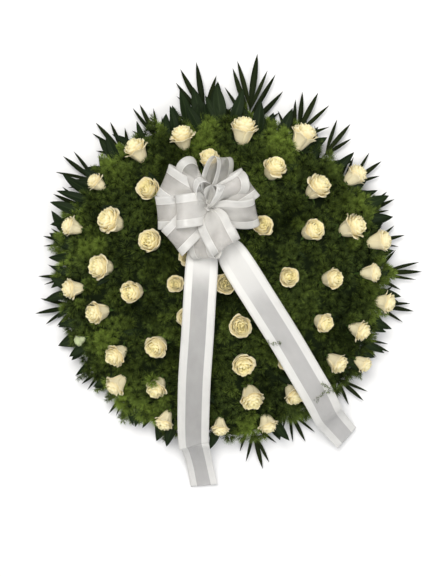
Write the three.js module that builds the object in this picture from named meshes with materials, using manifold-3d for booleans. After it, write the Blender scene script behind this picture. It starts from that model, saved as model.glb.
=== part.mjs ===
// A round funeral wreath laid on its back: cream roses in a domed bed of feathery fern,
// palm fronds and broad leaves round the rim, and a white ribbon bow with two tails.
// Millimetres, +Z up out of the flowers, +Y towards the wreath's top, origin under the middle.
import * as THREE from "three";
import { mergeVertices } from "three/addons/utils/BufferGeometryUtils.js";
import Module from "manifold-3d";

const wasm = await Module();
wasm.setup();

// Driving dimensions
const CLEAR = 0.4; // gap between pieces that touch
const ROUND = 24; // sides of the round pieces
const BACKING = { radius: 275, thick: 12 };
const FOAM = { radius: 268, side: 50, shoulder: 57, top: 78 };
const BED = { radius: 356, foot: 33, top: 102, fullness: 2.6, steps: 5, clump: 7 };
const HEADS = { low: 34, rise: 98, reach: 400, tilt: 70, tiltRadius: 350, tiltPower: 1.7 };
const STEM = { radius: 2.6, sides: 4, length: 76, inner: 58, hole: 0.5 };
const PETALS = 5;
const NEEDLE_TUFT = { count: 64, needles: 5, reach: 28, rise: 18, seam: 9 };
const LEAF = {
  thick: 1,
  level: 20.5,
  plateIn: FOAM.radius + 2 * CLEAR,
  plateOut: 314,
  plateThick: 5.4,
  rootIn: 12,
};
const RIBBON = { width: 70, thick: 0.9, pinched: 15 };
const BOW = { x: -31, y: 148, z: 154, knot: 15 };
const PICK = { side: 4.5, foot: 26, ring: 7.5, ringTall: 6 };

const COLOUR = {
  petal: { color: 0xf0e6c4, roughness: 0.6 },
  bud: { color: 0xb9c48c, roughness: 0.6 },
  fern: { color: 0x3c6a22, roughness: 0.85 },
  palm: { color: 0x1d3317, roughness: 0.5 },
  ribbon: { color: 0xf3f1ef, roughness: 0.35 },
  foam: { color: 0x2f5a34, roughness: 0.95 },
  backing: { color: 0xe9ebe6, roughness: 0.9 },
  pick: { color: 0x4d6b3a, roughness: 0.8 },
};

// The roses: the middle of each head from the wreath's middle, and the head's width.
// sunk sets a head deeper in the bed, and lean adds to its outward tilt in degrees.
const ROSES = [
  { x: -191, y: 284, across: 58 },
  { x: -88, y: 312, across: 56 },
  { x: 49, y: 330, across: 64 },
  { x: 183, y: 315, across: 66 },
  { x: -28, y: 260, across: 50, sunk: 4 },
  { x: 117, y: 242, across: 56 },
  { x: 302, y: 229, across: 54 },
  { x: -281, y: 211, across: 44 },
  { x: -162, y: 194, across: 56, lean: -20 },
  { x: 214, y: 200, across: 60 },
  { x: -336, y: 112, across: 48 },
  { x: -248, y: 125, across: 62 },
  { x: -158, y: 79, across: 56 },
  { x: 90, y: 112, across: 50, sunk: 8 },
  { x: 201, y: 103, across: 54 },
  { x: 293, y: 112, across: 62 },
  { x: 355, y: 81, across: 56 },
  { x: -270, y: 22, across: 58 },
  { x: -334, y: -26, across: 50 },
  { x: -198, y: -33, across: 54 },
  { x: -101, y: -15, across: 42 },
  { x: 9, y: -15, across: 52, sunk: 4 },
  { x: 146, y: 0, across: 48 },
  { x: 245, y: -4, across: 50 },
  { x: 333, y: 9, across: 46 },
  { x: -277, y: -79, across: 54 },
  { x: -79, y: -88, across: 44, sunk: 4 },
  { x: 40, y: -108, across: 54 },
  { x: 225, y: -101, across: 46 },
  { x: 308, y: -119, across: 50 },
  { x: 368, y: -57, across: 50 },
  { x: -235, y: -174, across: 54 },
  { x: -145, y: -154, across: 54 },
  { x: 47, y: -194, across: 54 },
  { x: 141, y: -185, across: 44, sunk: 6 },
  { x: 256, y: -191, across: 50 },
  { x: 317, y: -194, across: 40 },
  { x: -235, y: -240, across: 50 },
  { x: -145, y: -246, across: 50 },
  { x: 66, y: -268, across: 58 },
  { x: 161, y: -262, across: 50, sunk: 4 },
  { x: -127, y: -321, across: 46 },
  { x: -4, y: -334, across: 42 },
  { x: 102, y: -328, across: 46 },
  { x: -74, y: 44, across: 44, sunk: 6 },
];
const BUD = { x: -316, y: -141, across: 26 };

// Palm fronds: the place of the root round the rim and the way the rib points, in degrees
// from +X, how far from the middle the tip reaches, the leaflets' length and the rib's rise.
const FRONDS = [
  { root: 80, points: 82, tip: 507, blade: 84, pairs: 5, rise: -1 },
  { root: 95, points: 99, tip: 486, blade: 76, pairs: 5, rise: -3 },
  { root: 115, points: 116, tip: 430, blade: 56, pairs: 3, rise: -3 },
  { root: 128, points: 131, tip: 448, blade: 62, pairs: 4, rise: -3 },
  { root: 143, points: 142, tip: 448, blade: 58, pairs: 3, rise: -1 },
  { root: 153, points: 155, tip: 422, blade: 52, pairs: 3, rise: -3 },
  { root: 167, points: 167, tip: 412, blade: 50, pairs: 3, rise: -2 },
  { root: 180, points: 179, tip: 412, blade: 50, pairs: 3, rise: -2 },
  { root: 191, points: 191, tip: 426, blade: 56, pairs: 3, rise: -1 },
  { root: 217, points: 218, tip: 396, blade: 44, pairs: 3, rise: -2 },
  { root: 230, points: 231, tip: 398, blade: 44, pairs: 3, rise: -1 },
  { root: 281, points: 284, tip: 440, blade: 54, pairs: 3, rise: -2 },
  { root: 297, points: 297, tip: 414, blade: 50, pairs: 3, rise: -1 },
  { root: 319, points: 319, tip: 422, blade: 52, pairs: 3, rise: -2 },
  { root: 336, points: 336, tip: 412, blade: 50, pairs: 3, rise: -1 },
  { root: 350, points: 350, tip: 438, blade: 56, pairs: 3, rise: -2 },
  { root: 2, points: 1, tip: 450, blade: 56, pairs: 3, rise: -2 },
  { root: 13, points: 13, tip: 422, blade: 50, pairs: 3, rise: -2 },
  { root: 24, points: 25, tip: 426, blade: 52, pairs: 3, rise: -1 },
  { root: 36, points: 36, tip: 444, blade: 56, pairs: 3, rise: -2 },
  { root: 50, points: 50, tip: 450, blade: 56, pairs: 3, rise: -2 },
  { root: 62, points: 63, tip: 468, blade: 66, pairs: 4, rise: -3 },
];

// Broad leaves: the place of the root round the rim, the way each points, and its length.
const BROAD_LEAVES = [
  { root: 72, points: 74, long: 110 },
  { root: 107, points: 106, long: 112 },
  { root: 122, points: 123, long: 96 },
  { root: 147, points: 149, long: 108 },
  { root: 162, points: 162, long: 118 },
  { root: 203, points: 202, long: 120 },
  { root: 248, points: 249, long: 118 },
  { root: 262, points: 262, long: 92 },
  { root: 290, points: 289, long: 110 },
  { root: 308, points: 307, long: 90 },
  { root: 328, points: 327, long: 94 },
  { root: 343, points: 343, long: 104 },
  { root: 18, points: 20, long: 104 },
  { root: 43, points: 43, long: 114 },
];

// The four quarters that the fern and the rim leaves are laid in.
const QUARTERS = [
  { name: "right", middle: 0 },
  { name: "top", middle: 90 },
  { name: "left", middle: 180 },
  { name: "bottom", middle: 270 },
];

// Bow loops: the way each points in the face, its rise above the face, how far it reaches and
// half the opening of the loop, then the way its ribbon's width runs at its far end: that way's
// turn in the face and its rise.
const LOOPS = [
  { turn: 149, rise: 20, reach: 114, open: 17, acrossTurn: 66, acrossRise: 14 },
  { turn: 188, rise: 14, reach: 110, open: 15, acrossTurn: 95, acrossRise: 12 },
  { turn: 227, rise: 17, reach: 112, open: 15, acrossTurn: 129, acrossRise: 0 },
  { turn: 268, rise: 20, reach: 116, open: 14, acrossTurn: 0, acrossRise: 46 },
  { turn: 296, rise: 33, reach: 110, open: 20, acrossTurn: 35, acrossRise: 0 },
  { turn: 355, rise: 18, reach: 108, open: 16, acrossTurn: 104, acrossRise: 34 },
  { turn: 30, rise: 22, reach: 110, open: 15, acrossTurn: 125, acrossRise: 10 },
  { turn: 72, rise: 20, reach: 114, open: 19, acrossTurn: 188, acrossRise: 72 },
  { turn: 112, rise: 38, reach: 96, open: 15, acrossTurn: 119, acrossRise: 0 },
  { turn: 194, rise: 47, reach: 88, open: 19, acrossTurn: 92, acrossRise: 0 },
  { turn: 41, rise: 42, reach: 93, open: 16, acrossTurn: 24, acrossRise: 4 },
];

// Ribbon tails: points down the middle of each, the width there and the twist in degrees.
const TAILS = [
  {
    name: "ribbon_tail_left",
    points: [
      { at: [-42, 141, 145], width: 15, twist: 0 },
      { at: [-41, 104, 143], width: 30, twist: 0 },
      { at: [-42, 74, 145], width: 46, twist: 0 },
      { at: [-43, 48, 149], width: 64, twist: 0 },
      { at: [-44, 16, 154], width: 70, twist: 0 },
      { at: [-48, -50, 157], width: 70, twist: 0 },
      { at: [-53, -135, 154], width: 70, twist: 0 },
      { at: [-59, -222, 144], width: 70, twist: 0 },
      { at: [-62, -311, 120], width: 69, twist: 0 },
      { at: [-61, -366, 96], width: 66, twist: 4 },
      { at: [-56, -389, 66], width: 64, twist: 14 },
      { at: [-49, -426, 34], width: 62, twist: 16 },
      { at: [-40, -474, 12], width: 62, twist: 10 },
    ],
  },
  {
    name: "ribbon_tail_right",
    points: [
      { at: [-25, 141, 145], width: 15, twist: 0 },
      { at: [-7, 104, 143], width: 30, twist: 0 },
      { at: [6, 74, 145], width: 46, twist: 0 },
      { at: [20, 50, 149], width: 64, twist: 0 },
      { at: [40, 17, 154], width: 70, twist: 0 },
      { at: [82, -50, 157], width: 70, twist: 0 },
      { at: [136, -136, 154], width: 70, twist: 0 },
      { at: [187, -222, 144], width: 70, twist: 0 },
      { at: [213, -266, 129], width: 70, twist: 0 },
      { at: [233, -304, 107], width: 68, twist: 2 },
      { at: [249, -324, 66], width: 66, twist: -6 },
      { at: [284, -364, 24], width: 64, twist: -8 },
    ],
  },
];
const TAIL_STEPS = 16;

// Small maths
const radians = (degrees) => (degrees * Math.PI) / 180;
const mix = (a, b, share) => a + (b - a) * share;
const smooth = (share) => share * share * (3 - 2 * share);
const polar = (degrees, radius, z) =>
  new THREE.Vector3(radius * Math.cos(radians(degrees)), radius * Math.sin(radians(degrees)), z);

// A seeded draw, so that every build is the same.
function seeded(seed) {
  let state = seed;
  return () => {
    state = (state * 1664525 + 1013904223) % 4294967296;
    return state / 4294967296;
  };
}

// A closed geometry as a solid, turned to face out.
function solidOf(geometry) {
  const bare = geometry.clone();
  bare.deleteAttribute("normal");
  bare.deleteAttribute("uv");
  const merged = mergeVertices(bare, 1e-4);
  const triVerts = new Uint32Array(merged.index.array);
  const build = () =>
    new wasm.Manifold(
      new wasm.Mesh({
        numProp: 3,
        vertProperties: new Float32Array(merged.attributes.position.array),
        triVerts,
      }),
    );
  const made = build();
  if (made.volume() > 0) return made;
  for (let i = 0; i < triVerts.length; i += 3)
    [triVerts[i + 1], triVerts[i + 2]] = [triVerts[i + 2], triVerts[i + 1]];
  return build();
}

// A solid's largest body as a geometry: loose scraps that a cut leaves are dropped.
function geometryOf(solid) {
  const bodies = solid.decompose();
  bodies.sort((a, b) => b.volume() - a.volume());
  const mesh = bodies[0].getMesh();
  const positions = new Float32Array(mesh.numVert * 3);
  for (let i = 0; i < mesh.numVert; i += 1)
    positions.set(mesh.vertProperties.subarray(i * mesh.numProp, i * mesh.numProp + 3), i * 3);
  return new THREE.BufferGeometry()
    .setAttribute("position", new THREE.BufferAttribute(positions, 3))
    .setIndex(new THREE.BufferAttribute(new Uint32Array(mesh.triVerts), 1));
}

const joined = (solids) => solids.reduce((all, one) => all.add(one));

// A surface of revolution about Z from a profile of [radius, height].
function lathe(profile, sides = ROUND) {
  const points = profile.map(([radius, height]) => new THREE.Vector2(radius, height));
  return new THREE.LatheGeometry(points, sides).rotateX(Math.PI / 2);
}

// A closed skin over a stack of rings, which may differ in their number of points.
function skin(rings) {
  const points = rings.flat();
  const faces = [];
  const starts = rings.map((_, k) => rings.slice(0, k).reduce((sum, ring) => sum + ring.length, 0));
  for (let k = 0; k + 1 < rings.length; k += 1) {
    const [below, above] = [rings[k].length, rings[k + 1].length];
    let i = 0;
    let j = 0;
    while (i < below || j < above) {
      const low = starts[k] + (i % below);
      const high = starts[k + 1] + (j % above);
      if (j >= above || (i < below && (i + 1) / below <= (j + 1) / above)) {
        faces.push(low, starts[k] + ((i + 1) % below), high);
        i += 1;
      } else {
        faces.push(high, low, starts[k + 1] + ((j + 1) % above));
        j += 1;
      }
    }
  }
  const last = rings.length - 1;
  for (let i = 1; i + 1 < rings[0].length; i += 1) faces.push(0, i + 1, i);
  for (let i = 1; i + 1 < rings[last].length; i += 1)
    faces.push(starts[last], starts[last] + i, starts[last] + i + 1);
  const positions = new Float32Array(points.flatMap((p) => [p.x, p.y, p.z]));
  return new THREE.BufferGeometry()
    .setAttribute("position", new THREE.BufferAttribute(positions, 3))
    .setIndex(faces);
}

// The bed's height at a distance from the middle, and the way its surface faces there.
function bedHeight(radius) {
  const share = Math.min(1, radius / BED.radius) ** BED.fullness;
  return BED.foot + (BED.top - BED.foot) * (1 - share) ** (1 / BED.fullness);
}

function bedNormal(point) {
  const step = 1;
  const radius = Math.hypot(point.x, point.y);
  const slope = (bedHeight(radius - step) - bedHeight(Math.min(BED.radius, radius + step))) / (2 * step);
  return new THREE.Vector3((point.x / radius) * slope, (point.y / radius) * slope, 1).normalize();
}

// Clumps in the bed: its upper points move up or down and in or out by a smooth rule.
function lumpy(geometry) {
  const place = geometry.getAttribute("position");
  for (let i = 0; i < place.count; i += 1) {
    const [x, y, z] = [place.getX(i), place.getY(i), place.getZ(i)];
    const wave = Math.sin(0.031 * x + 0.9) * Math.sin(0.027 * y + 0.4) + 0.6 * Math.sin(0.047 * (x + y));
    const out = 1 + (BED.clump * Math.sin(0.041 * x - 0.035 * y)) / BED.radius;
    const lift = z > BED.foot + 1 ? BED.clump * wave : 0;
    place.setXYZ(i, x * out, y * out, z + lift);
  }
  return geometry;
}

// One ring of a rose. Each petal starts full and high on one side and tucks in on the other.
function petalRing({ points, height, radius, overlap = 0, dip = 0, phase = 0 }) {
  const perPetal = points / PETALS;
  return Array.from({ length: points }, (_, i) => {
    const along = perPetal > 1 ? (i % perPetal) / (perPetal - 1) : 0.5;
    const angle = ((i + phase * perPetal) / points) * 2 * Math.PI;
    const out = radius * (1 + overlap * (0.5 - along));
    const down = dip * Math.abs(2 * along - 1);
    return new THREE.Vector3(out * Math.cos(angle), out * Math.sin(angle), height - down);
  });
}

// A rose on its stem: the stem, the outer petals, two layers inside them and the heart.
function roseGeometry({ x, y, across }, spare = 0) {
  const stemLength = mix(STEM.inner, STEM.length, Math.min(1, Math.hypot(x, y) / FOAM.radius));
  const tall = across * 0.86 + spare;
  const wide = across / 2 + spare;
  const stem = STEM.radius + spare;
  const flower = (points, height, radius, more) =>
    petalRing({ points, height: height * tall, radius: radius * wide, ...more });
  return skin([
    petalRing({ points: STEM.sides, height: -stemLength - spare, radius: stem }),
    petalRing({ points: STEM.sides, height: -1, radius: stem }),
    flower(5, 0.1, 0.5),
    flower(10, 0.42, 0.9, { overlap: 0.06 }),
    flower(15, 0.84, 0.98, { overlap: 0.16, dip: 0.1 * tall }),
    flower(5, 0.62, 0.68, { phase: 0.3 }),
    flower(10, 0.95, 0.6, { overlap: 0.14, dip: 0.05 * tall, phase: 0.5 }),
    flower(5, 0.8, 0.32, { phase: 0.2 }),
    flower(5, 1, 0.24, { phase: 0.6 }),
  ]);
}

// Where a rose stands: its head's middle over the bed, tilted outward more towards the rim.
function rosePlace({ x, y, across, sunk = 0, lean = 0 }) {
  const radius = Math.hypot(x, y);
  const share = (radius / HEADS.tiltRadius) ** HEADS.tiltPower;
  const tilt = radians(Math.min(HEADS.tilt + 2, HEADS.tilt * share) + lean);
  const level = new THREE.Vector3(x, y, 0).divideScalar(radius);
  const faces = level.multiplyScalar(Math.sin(tilt)).setZ(Math.cos(tilt));
  const height = HEADS.low + HEADS.rise * Math.sqrt(1 - (radius / HEADS.reach) ** 2) - sunk;
  const foot = new THREE.Vector3(x, y, height).addScaledVector(faces, -0.43 * across);
  const turn = new THREE.Quaternion().setFromUnitVectors(new THREE.Vector3(0, 0, 1), faces);
  return { foot, turn, matrix: new THREE.Matrix4().compose(foot, turn, new THREE.Vector3(1, 1, 1)) };
}

// A tuft of needles round a slim core: a star of spikes whose foot is sunk in the bed.
function tuftGeometry(at, normal, draw, size) {
  const count = NEEDLE_TUFT.needles;
  const side = new THREE.Vector3(1, 0, 0).cross(normal).normalize();
  const other = new THREE.Vector3().crossVectors(normal, side);
  const spin = draw() * Math.PI;
  const around = (share, out, up) => {
    const angle = spin + share * 2 * Math.PI;
    return at
      .clone()
      .addScaledVector(side, Math.cos(angle) * out * size)
      .addScaledVector(other, Math.sin(angle) * out * size)
      .addScaledVector(normal, up * size);
  };
  const crown = around(0, 0, NEEDLE_TUFT.rise * (1.1 + 0.4 * draw()));
  const foot = around(0, 0, -15);
  const tips = [];
  const valleys = [];
  for (let i = 0; i < count; i += 1) {
    const reach = NEEDLE_TUFT.reach * (0.8 + 0.35 * draw());
    tips.push(around(i / count, reach, NEEDLE_TUFT.rise * (i % 2 ? 1 : 0.45)));
    valleys.push(around((i + 0.5) / count, 4, 5));
  }
  const points = [crown, foot, ...tips, ...valleys];
  const faces = [];
  for (let i = 0; i < count; i += 1) {
    const tip = 2 + i;
    const after = 2 + count + i;
    const before = 2 + count + ((i + count - 1) % count);
    faces.push(0, before, tip, 0, tip, after, tip, before, after, 1, after, before);
  }
  const positions = new Float32Array(points.flatMap((p) => [p.x, p.y, p.z]));
  return new THREE.BufferGeometry()
    .setAttribute("position", new THREE.BufferAttribute(positions, 3))
    .setIndex(faces);
}

// A flat outline thickened, then bent: both faces keep the same triangles.
function blade(shape, bend) {
  const flat = new THREE.ExtrudeGeometry(shape, { depth: LEAF.thick, bevelEnabled: false });
  const place = flat.getAttribute("position");
  for (let i = 0; i < place.count; i += 1)
    place.setZ(i, place.getZ(i) - LEAF.thick / 2 + bend(place.getX(i), place.getY(i)));
  return flat;
}

// A palm frond along +X whose leaflets are cut to the rib.
function frondGeometry({ tip: reach, pairs, blade: long, rise }) {
  const rib = reach - LEAF.plateIn - LEAF.rootIn - 0.92 * long;
  const first = 34; // the bare rib before the first leaflet
  const step = (rib - first) / pairs;
  const outline = [[0, -3], [first - step / 2, -3]];
  const leaflet = (root, degrees, length, side) => {
    const [c, s] = [Math.cos(radians(degrees)), side * Math.sin(radians(degrees))];
    const half = 0.28 * step + 1.5;
    const point = (along, out) => [root + along * c - out * s * side, along * s + out * c * side];
    return [point(0.42 * length, -half), point(length, 0), point(0.36 * length, half)];
  };
  for (let i = 0; i < pairs; i += 1) {
    const root = first + step * i;
    const [near, tip, far] = leaflet(root, 56 - 9 * i, long * (0.86 + 0.08 * i), -1);
    outline.push(far, tip, near, [root + step / 2, -1.6]);
  }
  outline.push([rib + 0.36 * long, -5.5], [rib + 0.92 * long, 0], [rib + 0.36 * long, 5.5]);
  for (let i = pairs - 1; i >= 0; i -= 1) {
    const root = first + step * (i + 0.12);
    const [near, tip, far] = leaflet(root, 54 - 9 * i, long * (0.86 + 0.08 * i), 1);
    outline.push([root + step / 2, 1.6], near, tip, far);
  }
  outline.push([first - step / 2, 3], [0, 3]);
  const shape = new THREE.Shape(outline.map(([x, y]) => new THREE.Vector2(x, y)));
  const whole = rib + long;
  const climb = Math.tan(radians(rise));
  return blade(shape, (x, y) => {
    const out = Math.max(0, x - first) / whole;
    return climb * Math.max(0, x - first) + 16 * out * (1 - out) - 0.0022 * y * y;
  });
}

// A broad oval leaf along +X, arched along its rib.
function broadLeafGeometry({ long }) {
  const wide = 0.21 * long;
  const shares = [0.12, 0.34, 0.6, 0.84];
  const half = shares.map((share) => wide * Math.sin(Math.PI * share ** 0.8));
  const outline = [
    [0, -2],
    ...shares.map((share, i) => [share * long, -half[i]]),
    [long, 0],
    ...shares.map((share, i) => [share * long, half[i]]).reverse(),
    [0, 2],
  ];
  const shape = new THREE.Shape(outline.map(([x, y]) => new THREE.Vector2(x, y)));
  return blade(shape, (x, y) => 12 * (x / long) * (1 - x / long) + 0.006 * y * y + 0.05 * x);
}

// A ribbon as a closed strip through stations of a middle, a way across and a width.
function stripGeometry(stations) {
  return skin(
    stations.map(({ middle, across, width }, i) => {
      const before = stations[Math.max(0, i - 1)].middle;
      const after = stations[Math.min(stations.length - 1, i + 1)].middle;
      const along = new THREE.Vector3().subVectors(after, before).normalize();
      const flat = across.clone().addScaledVector(along, -across.dot(along)).normalize();
      const face = new THREE.Vector3().crossVectors(flat, along).multiplyScalar(RIBBON.thick / 2);
      const half = flat.multiplyScalar(width / 2);
      const corner = (s, t) => middle.clone().addScaledVector(half, s).addScaledVector(face, t);
      return [corner(-1, -1), corner(1, -1), corner(1, 1), corner(-1, 1)];
    }),
  );
}

function tailGeometry({ points }) {
  const curve = new THREE.CatmullRomCurve3(points.map(({ at }) => new THREE.Vector3(...at)));
  const stations = [];
  for (let i = 0; i <= TAIL_STEPS; i += 1) {
    const share = i / TAIL_STEPS;
    const place = share * (points.length - 1);
    const low = Math.min(points.length - 2, Math.floor(place));
    const between = place - low;
    const along = curve.getTangent(share);
    const across = new THREE.Vector3(-along.y, along.x, 0).normalize();
    const twist = radians(mix(points[low].twist, points[low + 1].twist, between));
    stations.push({
      middle: curve.getPoint(share),
      across: across.applyAxisAngle(along, twist),
      width: mix(points[low].width, points[low + 1].width, between),
    });
  }
  return stripGeometry(stations);
}

// A bow loop: a teardrop of ribbon, pinched where it leaves the knot.
function loopGeometry({ turn, rise, reach, open, acrossTurn, acrossRise }) {
  const steps = 7;
  const start = 0.6;
  const way = (degrees, climb) => polar(degrees, Math.cos(radians(climb)), Math.sin(radians(climb)));
  const out = way(turn, rise);
  const across = way(acrossTurn, acrossRise);
  const up = new THREE.Vector3().crossVectors(out, across).normalize();
  const knot = new THREE.Vector3(BOW.x, BOW.y, BOW.z);
  const stations = [];
  for (let i = 0; i <= steps; i += 1) {
    const angle = mix(start, 2 * Math.PI - start, i / steps);
    const far = Math.sin(angle / 2);
    const middle = knot
      .clone()
      .addScaledVector(out, (reach * (1 - Math.cos(angle))) / 2)
      .addScaledVector(up, open * 1.5 * Math.sin(angle) * far);
    const width = mix(RIBBON.pinched, RIBBON.width, smooth(Math.min(1, Math.max(0, (far - 0.35) / 0.55))));
    stations.push({ middle, across, width });
  }
  return stripGeometry(stations);
}

// The pieces
const wreath = new THREE.Group();
wreath.name = "funeral_wreath";

function place(name, geometry, finish) {
  const mesh = new THREE.Mesh(geometry, new THREE.MeshStandardMaterial({ metalness: 0, ...finish }));
  mesh.name = name;
  wreath.add(mesh);
  return mesh;
}

const roses = [...ROSES, BUD].map((rose, i) => {
  const { matrix, foot } = rosePlace(rose);
  const name = rose === BUD ? "rosebud" : `rose_${String(i + 1).padStart(2, "0")}`;
  const mesh = place(name, roseGeometry(rose), rose === BUD ? COLOUR.bud : COLOUR.petal);
  mesh.position.copy(foot);
  mesh.quaternion.copy(rosePlace(rose).turn);
  return solidOf(roseGeometry(rose, STEM.hole).applyMatrix4(matrix));
});

// The pick that holds the bow: a stick with a ring of wound wire at its head.
const pickTop = BOW.z - BOW.knot + 2.2;
const stick = new THREE.BoxGeometry(PICK.side, PICK.side, pickTop - PICK.foot).translate(
  BOW.x,
  BOW.y,
  (pickTop + PICK.foot) / 2,
);
const ring = new THREE.CylinderGeometry(PICK.ring, PICK.ring, PICK.ringTall, 8)
  .rotateX(Math.PI / 2)
  .translate(BOW.x, BOW.y, pickTop - PICK.ringTall / 2);
const pick = solidOf(stick).add(solidOf(ring));
place("bow_pick", geometryOf(pick), COLOUR.pick);

const loops = LOOPS.map((loop) => solidOf(loopGeometry(loop)));
const knot = solidOf(new THREE.IcosahedronGeometry(BOW.knot, 0).translate(BOW.x, BOW.y, BOW.z));
const knotRoom = solidOf(new THREE.IcosahedronGeometry(BOW.knot + 0.5, 0).translate(BOW.x, BOW.y, BOW.z));
const pickRoom = solidOf(
  new THREE.CylinderGeometry(PICK.ring + CLEAR, PICK.ring + CLEAR, PICK.ringTall, 8)
    .rotateX(Math.PI / 2)
    .translate(BOW.x, BOW.y, pickTop - PICK.ringTall / 2 + CLEAR),
);
const bow = joined([knot, ...loops]).subtract(pickRoom);
place("ribbon_bow", geometryOf(bow), COLOUR.ribbon);

const tails = TAILS.map((tail) => {
  const made = solidOf(tailGeometry(tail)).subtract(knotRoom);
  place(tail.name, geometryOf(made), COLOUR.ribbon);
  return made;
});

const pickSide = PICK.side + 2 * CLEAR;
const pickHole = solidOf(
  new THREE.BoxGeometry(pickSide, pickSide, pickTop - PICK.foot + 2 * CLEAR).translate(
    BOW.x,
    BOW.y,
    (pickTop + PICK.foot) / 2,
  ),
);
const stemHoles = joined([pickHole, ...roses]);
const taken = joined([stemHoles, bow, ...tails]);

// The leaves round the rim: fronds and broad leaves fused where their bases overlap.
function atRim(geometry, { root, points }, level) {
  const start = polar(root, LEAF.plateIn + LEAF.rootIn, level);
  return geometry.rotateZ(radians(points)).translate(start.x, start.y, start.z);
}

function quarterOf(degrees) {
  return QUARTERS[Math.round((((degrees % 360) + 360) % 360) / 90) % 4];
}

const pegBox = (root, grow) =>
  solidOf(
    new THREE.BoxGeometry(44 + grow, 3.4 + grow, 3 + grow)
      .translate(FOAM.radius + 4, 0, LEAF.level)
      .rotateZ(radians(root)),
  );

const pegHoles = [];
for (const quarter of QUARTERS) {
  const span = radians(90) - 0.02;
  const arc = new THREE.Shape();
  const from = radians(quarter.middle) - span / 2;
  arc.absarc(0, 0, LEAF.plateOut, from, from + span, false);
  arc.absarc(0, 0, LEAF.plateIn, from + span, from, true);
  arc.closePath();
  const plate = new THREE.ExtrudeGeometry(arc, {
    depth: LEAF.plateThick,
    bevelEnabled: false,
    curveSegments: ROUND / 8,
  }).translate(0, 0, LEAF.level - LEAF.plateThick / 2);
  const solids = [solidOf(plate)];
  for (const frond of FRONDS.filter(({ root }) => quarterOf(root) === quarter))
    solids.push(solidOf(atRim(frondGeometry(frond), frond, LEAF.level - 1.4)));
  for (const aside of [-24, 24]) {
    solids.push(pegBox(quarter.middle + aside, 0));
    pegHoles.push(pegBox(quarter.middle + aside, 2 * CLEAR));
  }
  for (const leaf of BROAD_LEAVES.filter(({ root }) => quarterOf(root) === quarter))
    solids.push(solidOf(atRim(broadLeafGeometry(leaf), leaf, LEAF.level + 1.6)));
  place(`rim_leaves_${quarter.name}`, geometryOf(joined(solids)), COLOUR.palm);
}

// The foam that holds the stems, on its backing.
const foamFoot = BACKING.thick + CLEAR;
const foamOutside = (grow) => [
  [FOAM.radius + grow, FOAM.side],
  [FOAM.radius - 9 + grow, FOAM.shoulder + grow],
  [0.6 * FOAM.radius, mix(FOAM.shoulder, FOAM.top, 0.7) + grow],
  [0, FOAM.top + grow],
];
const foam = solidOf(lathe([[0, foamFoot], [FOAM.radius, foamFoot], ...foamOutside(0)]));
place("foam", geometryOf(foam.subtract(stemHoles).subtract(joined(pegHoles))), COLOUR.foam);
place("backing", geometryOf(solidOf(lathe([
  [0, 0],
  [BACKING.radius, 0],
  [BACKING.radius, BACKING.thick],
  [0, BACKING.thick],
]))), COLOUR.backing);

// The fern: a bed over the foam in four quarters, with tufts of needles all over it.
const bedProfile = [[0, BED.foot]];
for (let i = 0; i <= BED.steps; i += 1) {
  const angle = (i / BED.steps) * (Math.PI / 2);
  const power = 2 / BED.fullness;
  bedProfile.push([
    BED.radius * Math.cos(angle) ** power,
    BED.foot + (BED.top - BED.foot) * Math.sin(angle) ** power,
  ]);
}
bedProfile[BED.steps + 1][0] = 0;
const foamRoom = solidOf(lathe([[0, 0], [FOAM.radius + CLEAR, 0], ...foamOutside(CLEAR)]));
const bed = solidOf(lumpy(lathe(bedProfile))).subtract(foamRoom);

const draw = seeded(20);
const tufts = [];
for (let i = 0; i < NEEDLE_TUFT.count; i += 1) {
  const share = (i + 0.5) / NEEDLE_TUFT.count;
  const degrees = (i * 137.508) % 360;
  const at = polar(degrees, (BED.radius - 5) * Math.sqrt(share), 0);
  at.z = bedHeight(Math.hypot(at.x, at.y));
  const normal = bedNormal(at);
  const seam = Math.abs(((degrees + 45) % 90) - 45) - 45;
  const fromSeam = Math.sin(radians(Math.abs(seam))) * Math.hypot(at.x, at.y);
  if (fromSeam < NEEDLE_TUFT.seam) continue;
  for (const size of [1, 0.84, 0.7]) {
    const tuft = solidOf(tuftGeometry(at, normal, draw, size));
    if (tuft.intersect(taken).volume() > 0) continue;
    tufts.push({ degrees, tuft });
    break;
  }
}

for (const quarter of QUARTERS) {
  const half = BED.radius * 1.6;
  const wedge = new THREE.Shape([
    new THREE.Vector2(CLEAR, 0),
    new THREE.Vector2(half + CLEAR, -half),
    new THREE.Vector2(half + CLEAR, half),
  ]);
  const cutter = new THREE.ExtrudeGeometry(wedge, { depth: 300, bevelEnabled: false });
  cutter.rotateZ(radians(quarter.middle));
  const own = tufts.filter(({ degrees }) => quarterOf(degrees) === quarter).map(({ tuft }) => tuft);
  const part = joined([bed.intersect(solidOf(cutter)), ...own]).subtract(stemHoles);
  place(`fern_${quarter.name}`, geometryOf(part), COLOUR.fern);
}

export default wreath;
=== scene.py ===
"""A funeral wreath lying on its back: cream roses in feathery fern, palm fronds and broad leaves
round the rim, and a white ribbon bow with two tails."""

import math
import random
from math import cos, hypot, pi, radians, sin

import bpy
import numpy as np
from mathutils import Matrix, Vector, noise


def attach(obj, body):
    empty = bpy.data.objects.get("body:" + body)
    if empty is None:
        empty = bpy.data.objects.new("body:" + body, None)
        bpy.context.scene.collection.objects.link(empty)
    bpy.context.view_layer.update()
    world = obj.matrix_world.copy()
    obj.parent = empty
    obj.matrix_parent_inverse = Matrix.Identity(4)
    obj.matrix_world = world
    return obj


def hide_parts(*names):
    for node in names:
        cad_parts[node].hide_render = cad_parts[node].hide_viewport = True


bl_info = {
    "name": "Funeral Wreath",
    "version": (1, 0, 0),
    "blender": (4, 5, 0),
    "location": "View3D > Sidebar > Wreath",
    "description": "Dresses the packed wreath with roses, fern, leaves and ribbon",
    "category": "Object",
}

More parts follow.
